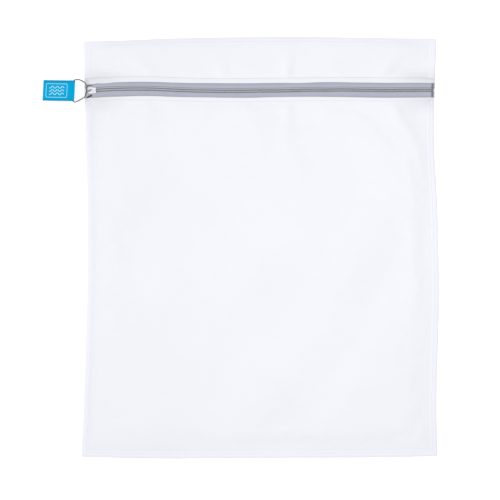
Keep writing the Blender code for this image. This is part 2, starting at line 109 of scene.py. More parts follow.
# How the cloth rises: its height at the seams, and the distances from the seams, the zip's ends and
# the zip over which it climbs
EDGE_Z = 2.5 * MM
EDGE_RISE = 42 * MM
TOP_RISE = 11 * MM
ZIP_END_Z = EDGE_Z + 0.7 * MM
ZIP_END_RISE = 5 * MM
NET_END_RISE = 25 * MM
HEM_SLOPE = 4.5 * MM
HELD_BY_ZIP = 13 * MM
FREE_OF_ZIP = 28 * MM
BAND_DIP = 15 * MM
BAND_DIP_SLOPE = 5 * MM
LOOSE_FROM_SIDE = 24 * MM
LOOSE_FROM_TOP = 20 * MM
BACK_Z = 0.15 * MM
BACK_EDGE_Z = 0.50 * MM

# How the front net settles: a little larger than its frame, for a few frames, and then pressed down to
# a share of its folds' height. It is held within SEWN_WITHIN of its edges.
CLOTH_SETTINGS = {
    "quality": 6, "mass": 0.1, "tension_stiffness": 12, "compression_stiffness": 12,
    "shear_stiffness": 6, "bending_stiffness": 0.6, "shrink_min": -0.006,
}
SEWN_WITHIN = 1.2 * SEAM
SETTLE_FRAMES = 22
SETTLE_CAP = 3.0 * MM
PRESSED = 0.30

# Seams: the band's profile, as (share of its width from the outer fold, share of the way from the back
# to the front, height added in mm), and the round of its corners at the outer fold and the inner edge.
# Then how far the net's sheets reach under it, and how far below the cloth's level they lie.
SEAM_PROFILE = (
    (1, 1, 0), (0.97, 1, 0.1), (0.76, 1, 0.16), (0.7, 1, 0.08), (0.64, 1, 0.17), (0.4, 1, 0.18),
    (0.15, 1, 0.1), (0.05, 0.85, 0), (0, 0.6, 0), (0, 0.4, 0), (0.05, 0.15, 0), (0.15, 0, -0.15),
    (0.4, 0, -0.22), (0.75, 0, -0.22), (1, 0, -0.1), (1, 0, 0.15), (0.5, 0, 0.2), (0.2, 0.25, 0.1),
    (0.13, 0.5, 0), (0.2, 0.75, -0.1), (0.5, 1, -0.15), (1, 1, -0.26),
)
OUTER_CORNER = 3.5 * MM
INNER_CORNER = 0.5 * MM
SEAM_POINTS = (110, 110, 110, 110)
TUCK = 2.5 * MM
NET_BELOW = 0.06 * MM

# The net's sheets, as (columns, rows) of points
BACK_GRID = (70, 84)
FRONT_GRID = (150, 160)
FLAP_GRID = (90, 34)

# Broad soft waves of the net, as (height, radians to a metre of x, and of y, start)
SOFT_WAVES = ((0.35 * MM, 19, 11, 0.6), (0.30 * MM, -13, 31, 2.0), (0.22 * MM, 47, -29, 1.1))

# Folds that run out from the zip: x, lean, length, half width and height, all but the lean in mm, and
# +1 above or -1 below it. They start within PUCKER_START of the tape's edge, and spread on their way.
PUCKER_START = 4 * MM
PUCKER_SPREAD = 1.2
PUCKERS = (
    (-205, -0.5, 60, 20, -2.2, -1), (-161, 0.05, 50, 6, 1.8, -1), (-142, 0.3, 30, 6, -1.2, -1),
    (-75, -0.15, 28, 5, 1, -1), (-20, 0.2, 45, 8, 1.2, -1), (40, -0.03, 85, 6, 1.8, -1),
    (85, 0.25, 30, 6, 1, -1), (135, 0.35, 45, 22, -2, -1), (186, 0.45, 60, 7, 2, -1),
    (222, 0.1, 38, 14, -2.4, -1), (-215, 0.4, 40, 16, -2.4, 1), (-150, -0.8, 50, 8, 1.6, 1),
    (-105, 0.2, 24, 6, 1, 1), (-50, -0.35, 34, 6, 1.6, 1), (38, 0.05, 46, 5, 2.4, 1),
    (112, -0.3, 22, 6, 1.2, 1), (168, 0.7, 60, 8, 2.2, 1), (218, 0.1, 40, 16, -2.4, 1),
)

# Zip
COIL_PITCH = 1.2 * MM
COIL_MID = 0.62 * MM
COIL_HALF = 1.10 * MM
COIL_RISE = 0.38 * MM
COIL_WIRE = 0.26 * MM
COIL_STEPS = 10
COIL_SIDES = 5
COIL_LEAN = 0.85
COIL_FLATNESS = 0.7
CORE_Y = 1.44 * MM
CORE_HALF = (0.40 * MM, 0.22 * MM)
CORE_SIDES = 8
COIL_THREAD_Y = 1.42 * MM
COIL_THREAD_RADIUS = 0.20 * MM
COIL_THREAD_LIFT = 0.56 * MM
COIL_THREAD_RIPPLE = 0.06 * MM
COIL_THREAD_STEP = 0.6 * MM

# What each piece of the flap's half zip stands for in the CAD, by the start of its nodes' names
STANDS_FOR = {
    "flap": "flap", "hem": "flap_hem", "stitches": "flap_hem_thread",
    "tape": "zip_tape_upper", "coil": "zip_coil_upper",
}

# Tape, over its top and back under it, as (distance from its inner edge, height) in mm. A dark line of
# painted shade runs beside the chain, and its fold at the right starts clear of the slider.
TAPE_TOP = ((0, 0.05), (0.5, 0.22), (1.4, 0.22), (2, 0.08), (2.6, 0.2))
TAPE_UNDER = ((1.5, -0.18), (0, -0.1))
TAPE_HALF_WALL = 0.18
TAPE_UNDER_COIL = 0.25 * MM
TAPE_SHADE_LINE = 4.1 * MM
TAPE_SHADE_LINE_HALF = (0.55 * MM, 0.25 * MM)
TAPE_ZIGZAG = 1.8 * MM
TAPE_RIB = 0.9 * MM
FOLD_FROM_SLIDER = 2.2 * MM

# The end fold where it passes over the chain, as (place across it, height) in mm, and its thickness
FOLD_OVER_CHAIN = ((-3.0, 0.50), (-1.8, 0.98), (0.0, 1.10), (1.8, 0.98), (3.0, 0.50))
FOLD_WALL = 0.24

# Hem beside the zip, as (share of its width from the fold, height in mm)
HEM_PAST_TAPE = 3.6 * MM
HEM_SHAPE = (
    (0.00, 0.62), (0.04, 0.78), (0.14, 0.82), (0.36, 0.74), (0.60, 0.44), (0.84, 0.18),
    (1.00, -0.02), (1.00, -0.16), (0.70, 0.02), (0.45, 0.24), (0.14, 0.42), (0.04, 0.48),
)

# Stitches. Each one's shape is (place along it, thickness, height), and it dips in at its two ends.
STITCH_PITCH = 3.2 * MM
STITCH_LENGTH = 2.7 * MM
STITCH_RADIUS = 0.24 * MM
STITCH_SHAPE = (
    (-0.50, 0.35, -0.9), (-0.42, 0.8, 0.1), (-0.15, 1.0, 0.75),
    (0.15, 1.0, 0.75), (0.42, 0.8, 0.1), (0.50, 0.35, -0.9),
)
SEAM_STITCH_LIFT = 0.10 * MM
BACK_STITCH_RADIUS = 0.16 * MM
BACK_STITCH_LIFT = -0.24 * MM
HEM_STITCH_RADIUS = 0.15 * MM
HEM_STITCH_LIFT = 0.03 * MM
HEM_STITCH_SHIFT = 0.3 * MM
THREAD_SIDES = 6

# Net
NET_PITCH = 1.25 * MM
NET_HOLE = (-0.1, 0.6)
# Painted shade: the net's darker tone beside the zip's two ends, and how far it reaches along the zip and
# across it
ZIP_END_SHADE_TONE = 0.86
ZIP_END_SHADE_ALONG = 75 * MM
ZIP_END_SHADE_ACROSS = (38 * MM, 16 * MM)

# Tacks of thick thread across the chain's ends: their thread's half width and half height
STOP_TURNS = 4
STOP_PAST_CHAIN = 0.6 * MM
STOP_THREAD = (0.26 * MM, 0.24 * MM)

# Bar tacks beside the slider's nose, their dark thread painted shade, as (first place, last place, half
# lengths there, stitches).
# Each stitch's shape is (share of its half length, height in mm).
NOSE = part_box("slider_body")[0].x
LOWER_SHADE_TACK = (
    (NOSE + 7.1 * MM, ZIP_Y - 6.9 * MM), (NOSE - 0.1 * MM, ZIP_Y - 10.4 * MM), (1.3 * MM, 0.9 * MM), 15,
)
UPPER_SHADE_TACK = (
    (NOSE + 8.4 * MM, ZIP_Y + 7.5 * MM), (NOSE + 0.4 * MM, ZIP_Y + 6.8 * MM), (0.7 * MM, 1.4 * MM), 10,
)
BAR_STITCH = ((-1.0, 0.05), (-0.7, 0.38), (0.7, 0.38), (1.0, 0.05))
BAR_SLANT = 0.12 * MM
BAR_THREAD = (0.30 * MM, 0.18 * MM)

# Slider: where shade is painted dark along the pull tab's window, seen from above
TAB_SHADE_LINE = ((NOSE + 5.6 * MM, ZIP_Y + 0.7 * MM), (NOSE - 1.1 * MM, ZIP_Y - 2.4 * MM))
TAB_SHADE_HALF_WIDTH = 1.6 * MM

# Label: the ribbon and how it is folded, in the label's own frame
LABEL_PITCH = math.radians(-1.5)
LABEL_YAW = math.radians(-3.0)
LABEL_SKEW = 0.035
LABEL_LENGTH = 43.0 * MM
LABEL_HALF_WIDTH = 14.5 * MM
LABEL_EYE = 1.32 * MM
LABEL_EYE_END = 4.5 * MM
LABEL_GAP = 0.30 * MM
LABEL_BEND = 0.45 * MM
LABEL_BEND_START = 4 * MM
LABEL_BEND_RUN = 40 * MM / 1.4
LABEL_RUN_POINTS = 26
LABEL_EYE_POINTS = 21
LABEL_COLUMNS = 17
LABEL_WALL = 0.22 * MM
LABEL_SELVEDGE = 0.10 * MM
SELVEDGE_FROM = 0.86
SELVEDGE_SLOPE = 0.10
LABEL_RIB = 0.45 * MM
LABEL_EDGE = (3.8 * MM, 1.6 * MM)
LABEL_ROW = 4.8 * MM
LABEL_ROW_LIFT = 0.42 * MM
LABEL_STITCH = (2.2 * MM, 1.8 * MM, 0.18 * MM)

# The label's motif: a border with round corners, and waves inside it
MOTIF_LOW = (-39.0 * MM, -9.6 * MM)
MOTIF_HIGH = (-9.5 * MM, 9.6 * MM)
MOTIF_CORNER = 1.4 * MM
MOTIF_POINTS = (9, 16, 9, 16)
MOTIF_LIFT = 0.44 * MM
MOTIF_THICKNESS = 0.06 * MM
BORDER_WIDTH = 0.36 * MM
WAVE_WIDTH = 0.55 * MM
WAVE_LEVELS = (-4.6 * MM, 0.0, 4.6 * MM)
WAVE_HEIGHT = 1.35 * MM
WAVE_LENGTH = 7.0 * MM
WAVE_INSET = 4.2 * MM
WAVE_POINTS = 60

# Floor, light and camera. Each lamp is (name, place, what it points at, size, watts).
FLOOR_SIZE = 8.0
FLOOR_Z = -0.2 * MM
FLOOR_GLOW = 0.20
WORLD_STRENGTH = 0.52
LAMPS = (
    ("key", (-2.6, 0.0, 1.8), (0.0, 0.05, 0.0), 0.9, 31.0),
    ("top", (0.26, 0.06, 1.5), (0.26, 0.06, 0.0), 0.8, 12.9),
)
LENS = 85.0
SENSOR_WIDTH = 36.0
VIEW_WIDTH = 0.710
VIEW_CENTRE = (-0.0160, -0.0030)


# Maths on arrays


def smoothstep(t):
    t = np.clip(t, 0.0, 1.0)
    return t * t * (3 - 2 * t)


def bell(t):
    return np.exp(-t * t)


def curve_through(stations, at):
    """A smooth curve through (place, value) pairs in millimetres, read at every place in at."""
    places, values = np.array(stations).T * MM
    slopes = np.gradient(values, places)
    i = np.clip(np.searchsorted(places, at) - 1, 0, len(places) - 2)
    span = places[i + 1] - places[i]
    t = np.clip((at - places[i]) / span, 0.0, 1.0)
    rise = t * t * (3 - 2 * t)
    out = t * (1 - t) ** 2
    back = t * t * (t - 1)
    return values[i] * (1 - rise) + values[i + 1] * rise + span * (slopes[i] * out + slopes[i + 1] * back)


def signed_power(value, power):
    return np.sign(value) * np.abs(value) ** power


# Where the cloth lies


def lay(x, y):
    """Where a point of the flat cut comes to lie, seen from above."""
    across = np.clip((x - LEFT) / (RIGHT - LEFT), 0.0, 1.0)
    shift_x = (1 - across) * curve_through(LEFT_BOW, y) + across * curve_through(RIGHT_BOW, y)
    near_top = smoothstep((y - TAPE_HIGH) / (TOP - TAPE_HIGH))
    near_bottom = 1 - smoothstep((y - BOTTOM) / (ZIP_Y - BOTTOM) * 2)
    shift_y = near_top * curve_through(TOP_BOW, x) + near_bottom * curve_through(BOTTOM_BOW, x)
    shift_y = shift_y + bell((y - ZIP_Y) / WANDER_REACH) * curve_through(ZIP_WANDER, x)
    return x + shift_x, y + shift_y


def past_tape(y):
    """Distance out from the zip tape's nearer edge, and below zero on the tape itself."""
    return np.maximum(y - TAPE_HIGH, TAPE_LOW - y)


def near_zip_band(y):
    """One along the zip, where the cloth is held level, and zero where it lies freely."""
    return 1 - smoothstep((np.abs(y - ZIP_Y) - HELD_BY_ZIP) / (FREE_OF_ZIP - HELD_BY_ZIP))


def folds(x, y):
    """The height that the puckers and the broad soft waves add to the front cloth."""
    total = 0.0
    for height, rate_x, rate_y, start in SOFT_WAVES:
        total = total + height * np.sin(rate_x * x + rate_y * y + start)
    for place, lean, length, half, height, side in PUCKERS:
        from_tape = side * (y - (TAPE_HIGH if side > 0 else TAPE_LOW))
        out = np.clip(from_tape, 0.0, None)
        run = out / (length * MM)
        across = (x - place * MM - lean * out) / (half * MM * (1 + PUCKER_SPREAD * run))
        start = smoothstep((from_tape + PUCKER_START) / (2 * PUCKER_START))
        total = total + height * MM * bell(run) * start * bell(across)
    return total


def edge_distance(x, y):
    return np.clip(np.minimum(np.minimum(x - LEFT, RIGHT - x), y - BOTTOM), 0.0, None)


def front_height(x, y, under_zip=False):
    """Height of the front cloth. The seam's band dips under the zip's tapes instead of rising."""
    edge = edge_distance(x, y)
    rise = smoothstep(edge / EDGE_RISE) * smoothstep((TOP - y) / TOP_RISE)
    near = near_zip_band(y)
    if under_zip:
        near = near * smoothstep((np.abs(y - ZIP_Y) - BAND_DIP) / BAND_DIP_SLOPE)
    end_rise = ZIP_END_RISE + NET_END_RISE * smoothstep((past_tape(y) + HEM_SLOPE / 6) / HEM_SLOPE)
    rise = rise + (1 - rise) * near * smoothstep(edge / end_rise)
    loose = smoothstep(edge / LOOSE_FROM_SIDE) * smoothstep((TOP - y) / LOOSE_FROM_TOP)
    return EDGE_Z + (CLOTH_Z - EDGE_Z) * rise + (1 - near) * loose * folds(x, y)


def back_height(x, y):
    edge = np.clip(np.minimum(edge_distance(x, y), TOP - y), 0.0, None)
    return BACK_Z + (BACK_EDGE_Z - BACK_Z) * (1 - smoothstep((edge - SEAM) / SEAM))


def laid(flat, level):
    """Lays points of the flat cut down, each at its own height above the level there."""
    placed_x, placed_y = lay(flat[:, 0], flat[:, 1])
    return np.stack([placed_x, placed_y, level + flat[:, 2]], axis=1)


def on_front(flat):
    return laid(flat, front_height(flat[:, 0], flat[:, 1]))


def on_back(flat):
    return laid(flat, back_height(flat[:, 0], flat[:, 1]))


def on_band(flat):
    return laid(flat, front_height(flat[:, 0], flat[:, 1], under_zip=True))


def on_zip(flat):
    """On the zip's own level line, which comes down to the seams at its two ends."""
    from_end = np.clip(np.minimum(flat[:, 0] - LEFT, RIGHT - flat[:, 0]), 0.0, None)
    return laid(flat, ZIP_END_Z + (CLOTH_Z - ZIP_END_Z) * smoothstep(from_end / ZIP_END_RISE))


def on_hem(flat):
    """On the zip's level at the hem's fold, and on the net itself where the hem is sewn to it."""
    level = on_zip(flat)
    x, y, height = flat.T
    out = smoothstep((past_tape(y) + HEM_SLOPE / 4) / HEM_SLOPE)
    level[:, 2] = level[:, 2] * (1 - out) + (front_height(x, y) + height) * out
    return level


# Meshes


def new_piece(name, points, faces, material, flat=None):
    mesh = bpy.data.meshes.new(name)
    mesh.from_pydata(points.tolist(), [], faces)
    mesh.update()
    mesh.materials.append(material)
    mesh.shade_smooth()
    if flat is not None:
        layer = mesh.uv_layers.new(name="cloth")
        corner = np.zeros(len(mesh.loops), int)
        mesh.loops.foreach_get("vertex_index", corner)
        layer.data.foreach_set("uv", flat[corner, :2].astype(np.float32).ravel())
    piece = bpy.data.objects.new(name, mesh)
    bpy.context.scene.collection.objects.link(piece)
    return piece


def face_out(piece):
    shape = bmesh.new()
    shape.from_mesh(piece.data)
    bmesh.ops.recalc_face_normals(shape, faces=shape.faces)
    for face in shape.faces:
        if len(face.verts) > 4:
            face.smooth = False
            for edge in face.edges:
                edge.smooth = False
    shape.to_mesh(piece.data)
    shape.free()
    return piece


def grid_faces(columns, rows):
    faces = []
    for row in range(rows - 1):
        for column in range(columns - 1):
            first = row * columns + column
            faces.append((first, first + 1, first + columns + 1, first + columns))
    return faces


def sheet_piece(name, low, high, counts, place, material):
    """A sheet of cloth over a rectangle of the flat cut."""
    xs = np.linspace(low[0], high[0], counts[0])
    ys = np.linspace(low[1], high[1], counts[1])
    grid_x, grid_y = np.meshgrid(xs, ys)
    flat = np.stack([grid_x.ravel(), grid_y.ravel(), np.full(grid_x.size, -NET_BELOW)], axis=1)
    return new_piece(name, place(flat), grid_faces(*counts), material, flat)


def loft_faces(rings, sides, closed):
    """Faces between rings of points, with caps at both ends unless the loft is a closed loop."""
    faces = []
    for ring in range(rings if closed else rings - 1):
        following = (ring + 1) % rings
        for side in range(sides):
            beside = (side + 1) % sides
            low = ring * sides
            high = following * sides
            faces.append((low + side, low + beside, high + beside, high + side))
    if not closed:
        faces.append(tuple(reversed(range(sides))))
        faces.append(tuple(range((rings - 1) * sides, rings * sides)))
    return faces


def strip_piece(name, profile_at, start_x, end_x, place, material, step=2.0 * MM):
    """A closed (y, height) profile, which may change with x, drawn along the zip from start_x to end_x."""
    count = max(4, round((end_x - start_x) / step))
    xs = np.linspace(start_x, end_x, count)
    flat = np.array([(x, y, height) for x in xs for y, height in profile_at(x)])
    piece = new_piece(name, place(flat), loft_faces(count, len(profile_at(start_x)), False), material, flat)
    return face_out(piece)


def sweep(path, side, half_width, half_height, sides):
    """Rings of points round a path. side is the direction that stays across it."""
    ahead = np.gradient(path, axis=0)
    ahead /= np.linalg.norm(ahead, axis=1)[:, None]
    side = np.array(side, float)
    across = side - (ahead @ side)[:, None] * ahead
    across /= np.linalg.norm(across, axis=1)[:, None]
    up = np.cross(ahead, across)
    rings = []
    for corner in range(sides):
        angle = 2 * math.pi * corner / sides
        rings.append(path + across * half_width * math.cos(angle) + up * half_height * math.sin(angle))
    return np.stack(rings, axis=1).reshape(-1, 3)


def tube_piece(name, path, side, half_width, half_height, sides, material):
    points = sweep(path, side, half_width, half_height, sides)
    return face_out(new_piece(name, points, loft_faces(len(path), sides, False), material))


def merged_tubes(name, tubes, material, place=None):
    """One piece from separate tubes with THREAD_SIDES sides. With a place, they are on the flat cut."""
    faces = []
    base = 0
    for tube in tubes:
        rings = len(tube) // THREAD_SIDES
        faces += [tuple(base + index for index in face) for face in loft_faces(rings, THREAD_SIDES, False)]
        base += len(tube)
    points = np.concatenate(tubes)
    if place is None:
        return face_out(new_piece(name, points, faces, material))
    return face_out(new_piece(name, place(points), faces, material, points))


def stitch(middle, ahead, length, radius, lift):
    beside = np.array([-ahead[1], ahead[0]])
    points = []
    for along, size, rise in STITCH_SHAPE:
        for corner in range(THREAD_SIDES):
            angle = 2 * math.pi * corner / THREAD_SIDES
            spot = middle + ahead * along * length + beside * radius * size * math.cos(angle)
            points.append((spot[0], spot[1], lift + radius * (rise + size * math.sin(angle))))
    return np.array(points)


def stitches_piece(name, ends, place, material, size=(STITCH_PITCH, STITCH_LENGTH, STITCH_RADIUS), lift=0.0):
    """A row of stitches between two ends on the flat cut. size is their pitch, length and radius."""
    start, end = np.array(ends, float)
    pitch, length, radius = size
    run = np.linalg.norm(end - start)
    ahead = (end - start) / run
    count = max(1, int(run / pitch))
    middles = [start + ahead * run * (number + 0.5) / count for number in range(count)]
    tubes = [stitch(middle, ahead, length, radius, lift) for middle in middles]
    return merged_tubes(name, tubes, material, place)


# Materials


def set_constants(made, constants):
    """Sets a node's sockets, each named with _ for a space."""
    for socket, value in constants.items():
        made.inputs[socket.replace("_", " ")].default_value = value
    return made


def node(tree, kind, settings=None, **constants):
    made = tree.nodes.new(kind)
    for name, value in (settings or {}).items():
        setattr(made, name, value)
    return set_constants(made, constants)


def wire(tree, source, target):
    tree.links.new(source, target)


def feed(tree, value, socket):
    """Puts a constant or another node's output into a socket."""
    if isinstance(value, bpy.types.NodeSocket):
        wire(tree, value, socket)
    else:
        socket.default_value = value


def calculate(tree, operation, *values):
    made = node(tree, "ShaderNodeMath", {"operation": operation})
    for socket, value in zip(made.inputs, values):
        feed(tree, value, socket)
    return made.outputs[0]


def calculate_vector(tree, operation, first, second, result="Vector"):
    made = node(tree, "ShaderNodeVectorMath", {"operation": operation})
    feed(tree, first, made.inputs[0])
    feed(tree, second, made.inputs["Scale" if operation == "SCALE" else 1])
    return made.outputs[result]


def new_material(name, roughness, **constants):
    material = bpy.data.materials.new(name)
    material.use_nodes = True
    shader = material.node_tree.nodes["Principled BSDF"]
    set_constants(shader, {"Roughness": roughness, **constants})
    return material, material.node_tree, shader


def cloth_uv(tree):
    """The flat cut's own x and y, in metres."""
    split = node(tree, "ShaderNodeSeparateXYZ")
    wire(tree, node(tree, "ShaderNodeUVMap", {"uv_map": "cloth"}).outputs["UV"], split.inputs[0])
    return split.outputs["X"], split.outputs["Y"]


def object_place(tree):
    return node(tree, "ShaderNodeTexCoord").outputs["Object"]


def noise(tree, scale, detail=3.0, low=0.0, high=1.0):
    """Noise over the object, stretched to run from low to high."""
    texture = node(tree, "ShaderNodeTexNoise", Scale=scale, Detail=detail)
    wire(tree, object_place(tree), texture.inputs["Vector"])
    spread = node(tree, "ShaderNodeMapRange", From_Min=0.3, From_Max=0.7, To_Min=low, To_Max=high)
    wire(tree, texture.outputs["Fac"], spread.inputs["Value"])
    return spread.outputs["Result"]


def ramp(tree, value, start, end):
    """A smooth step from zero, where value is start, to one, where it is end."""
    smooth = {"interpolation_type": "SMOOTHSTEP"}
    step = node(tree, "ShaderNodeMapRange", smooth, From_Min=start, From_Max=end)
    wire(tree, value, step.inputs["Value"])
    return step.outputs["Result"]


def ribbed(tree, along, pitch):
    """Even ribs, from zero to one, that follow each other at a pitch."""
    swing = calculate(tree, "SINE", calculate(tree, "MULTIPLY", along, 2 * math.pi / pitch))
    return calculate(tree, "MULTIPLY_ADD", swing, 0.5, 0.5)


def add_bump(tree, shader, height, distance_mm, strength):
    bump = node(tree, "ShaderNodeBump", Strength=strength, Distance=distance_mm * MM)
    wire(tree, height, bump.inputs["Height"])
    wire(tree, bump.outputs["Normal"], shader.inputs["Normal"])


def blend_colour(tree, factor, first, second):
    """Mix two colours by a factor, through the colour sockets of a Mix node."""
    mix = node(tree, "ShaderNodeMix", {"data_type": "RGBA"})
    wire(tree, factor, mix.inputs[0])
    for number, value in ((6, first), (7, second)):
        feed(tree, (*value, 1.0) if isinstance(value, tuple) else value, mix.inputs[number])
    return mix.outputs[2]


def painted_zip_end_shade(tree, x, y):
    """One beside the two ends of the zip, where shade is painted into the net as a darker tone."""
    from_end = calculate(tree, "SUBTRACT", (RIGHT - LEFT) / 2, calculate(tree, "ABSOLUTE", x))
    from_zip = calculate(tree, "ABSOLUTE", calculate(tree, "SUBTRACT", y, ZIP_Y))
    along = ramp(tree, from_end, ZIP_END_SHADE_ALONG, SEAM)
    across = ramp(tree, from_zip, *ZIP_END_SHADE_ACROSS)
    return calculate(tree, "MULTIPLY", along, across)


def colour_shader(tree, shader, colour, roughness):
    wire(tree, colour, shader.inputs["Base Color"])
    wire(tree, roughness, shader.inputs["Roughness"])


def shaded(share, colour):
    return tuple(share * part for part in colour)


def net_material(name, yarn, hole_shade, alpha):
    """Fine net: rows of small round holes between knitted yarns, with a soft sheen."""
    material, tree, shader = new_material(name, 0.8, Alpha=alpha, Sheen_Weight=0.25, Sheen_Roughness=0.5)
    x, y = cloth_uv(tree)
    turn = 2 * math.pi / NET_PITCH
    wave_x = calculate(tree, "SINE", calculate(tree, "MULTIPLY", x, turn))
    wave_y = calculate(tree, "SINE", calculate(tree, "MULTIPLY", y, turn))
    holes = ramp(tree, calculate(tree, "MULTIPLY", wave_x, wave_y), *NET_HOLE)
    tint = blend_colour(tree, noise(tree, 9.0), yarn, shaded(0.975, yarn))
    # Painted shade: the net is darker beside the two ends of the zip.
    tint = blend_colour(tree, painted_zip_end_shade(tree, x, y), tint, shaded(ZIP_END_SHADE_TONE, yarn))
    # The holes are painted a darker tone: painted shade, the shade seen through them.
    colour = blend_colour(tree, holes, tint, hole_shade)
    colour_shader(tree, shader, colour, noise(tree, 60.0, 2.0, 0.72, 0.88))
    add_bump(tree, shader, calculate(tree, "SUBTRACT", 1.0, holes), 0.08, 0.5)
    return material


def thread_material(name, colour):
    """Plied thread: fine turns that run slantwise round it."""
    material, tree, shader = new_material(name, 0.65, Sheen_Weight=0.2, Sheen_Roughness=0.4)
    slanting = {"wave_type": "BANDS", "bands_direction": "DIAGONAL"}
    turns = node(tree, "ShaderNodeTexWave", slanting, Scale=900.0, Distortion=0.4)
    wire(tree, object_place(tree), turns.inputs["Vector"])
    plied = blend_colour(tree, turns.outputs["Fac"], colour, shaded(0.86, colour))
    colour_shader(tree, shader, plied, noise(tree, 400.0, 2.0, 0.55, 0.75))
    add_bump(tree, shader, turns.outputs["Fac"], 0.05, 0.6)
    return material


def tape_material():
    """Herringbone zip tape: slanting ribs that turn back every couple of millimetres."""
    material, tree, shader = new_material("zip_tape", 0.85, Sheen_Weight=0.15, Sheen_Roughness=0.5)
    x, y = cloth_uv(tree)
    zigzag = calculate(tree, "PINGPONG", y, TAPE_ZIGZAG)
    ribs = ribbed(tree, calculate(tree, "ADD", x, zigzag), TAPE_RIB)
    light = (0.415, 0.433, 0.502)
    dark = (0.360, 0.380, 0.445)
    woven = blend_colour(tree, ribs, dark, blend_colour(tree, noise(tree, 45.0), light, shaded(0.94, light)))
    # Painted shade: a dark line along the upper tape beside the chain.
    from_shade_line = calculate(tree, "ABSOLUTE", calculate(tree, "SUBTRACT", y, ZIP_Y + TAPE_SHADE_LINE))
    line = ramp(tree, from_shade_line, *TAPE_SHADE_LINE_HALF)
    colour = blend_colour(tree, line, woven, (0.20, 0.21, 0.26))
    colour_shader(tree, shader, colour, noise(tree, 300.0, 2.0, 0.78, 0.92))
    add_bump(tree, shader, ribs, 0.10, 0.7)
    return material


def nylon_material(name, colour, roughness):
    material, tree, shader = new_material(name, roughness, IOR=1.53)
    mottled = blend_colour(tree, noise(tree, 350.0), colour, shaded(0.85, colour))
    colour_shader(tree, shader, mottled, noise(tree, 900.0, 2.0, roughness - 0.08, roughness + 0.10))
    add_bump(tree, shader, noise(tree, 2500.0), 0.01, 0.5)
    return material


def near_line(tree, start, end, half_width):
    """One on the line from start to end, seen from above, and fading to zero at half_width from it."""
    along = Vector((end[0] - start[0], end[1] - start[1], 0.0))
    offset = calculate_vector(tree, "SUBTRACT", object_place(tree), (*start, 0.0))
    flat = calculate_vector(tree, "MULTIPLY", offset, (1.0, 1.0, 0.0))
    share = calculate_vector(tree, "DOT_PRODUCT", flat, along / along.length_squared, "Value")
    held = node(tree, "ShaderNodeClamp")
    wire(tree, share, held.inputs["Value"])
    nearest = calculate_vector(tree, "SCALE", along, held.outputs[0])
    distance = calculate_vector(tree, "DISTANCE", flat, nearest, "Value")
    return ramp(tree, distance, half_width, half_width * 0.4)


def enamel_material():
    """White enamel on cast zinc, its tone a little mottled, with shade painted dark along the pull tab's
    window.
    """
    material, tree, shader = new_material("white_enamel", 0.28, Coat_Weight=0.35, Coat_Roughness=0.15)
    white = blend_colour(tree, noise(tree, 260.0, 4.0), (0.82, 0.83, 0.88), (0.72, 0.72, 0.76))
    # Painted shade: dark along the pull tab's window, mottled by noise.
    painted_tab_shade = near_line(tree, *TAB_SHADE_LINE, TAB_SHADE_HALF_WIDTH)
    painted_tab_shade_mottled = calculate(tree, "MULTIPLY", painted_tab_shade, noise(tree, 900.0, 3.0, 0.65, 1.0))
    colour = blend_colour(tree, painted_tab_shade_mottled, white, (0.13, 0.13, 0.14))
    colour_shader(tree, shader, colour, noise(tree, 800.0, 3.0, 0.20, 0.42))
    add_bump(tree, shader, noise(tree, 1200.0, 2.0), 0.03, 0.4)
    return material


def steel_material():
    """Plated wire, with faint drawn lines and a mottled gloss."""
    material, tree, shader = new_material("plated_wire", 0.25, Metallic=1.0)
    colour = blend_colour(tree, noise(tree, 500.0, 4.0), (0.26, 0.25, 0.23), (0.15, 0.145, 0.135))
    colour_shader(tree, shader, colour, noise(tree, 900.0, 3.0, 0.28, 0.48))
    add_bump(tree, shader, noise(tree, 2200.0, 2.0), 0.01, 0.5)
    return material


def ribbon_material():
    """Blue satin ribbon: fine cross ribs, and darker woven edges."""
    material, tree, shader = new_material("blue_ribbon", 0.60, Specular_IOR_Level=0.03)
    x, y = cloth_uv(tree)
    ribs = ribbed(tree, x, LABEL_RIB)
    from_edge = calculate(tree, "SUBTRACT", LABEL_HALF_WIDTH, calculate(tree, "ABSOLUTE", y))
    edge = ramp(tree, from_edge, *LABEL_EDGE)
    blue = blend_colour(tree, noise(tree, 120.0), (0.001, 0.395, 0.700), (0.001, 0.360, 0.645))
    blue = blend_colour(tree, edge, blue, (0.004, 0.255, 0.450))
    colour = blend_colour(tree, ribs, blue, (0.001, 0.310, 0.570))
    colour_shader(tree, shader, colour, noise(tree, 700.0, 2.0, 0.45, 0.65))
    add_bump(tree, shader, ribs, 0.05, 0.5)
    return material


def floor_material():
    """White, with a faint glow of its own that takes the bag's shadow off it."""
    glow = {"Emission_Color": (1.0, 1.0, 1.0, 1.0), "Emission_Strength": FLOOR_GLOW}
    material, tree, shader = new_material("pale_floor", 0.9, **glow)
    colour = blend_colour(tree, noise(tree, 3.0), (0.97, 0.97, 0.97), (0.95, 0.95, 0.95))
    wire(tree, colour, shader.inputs["Base Color"])
    return material


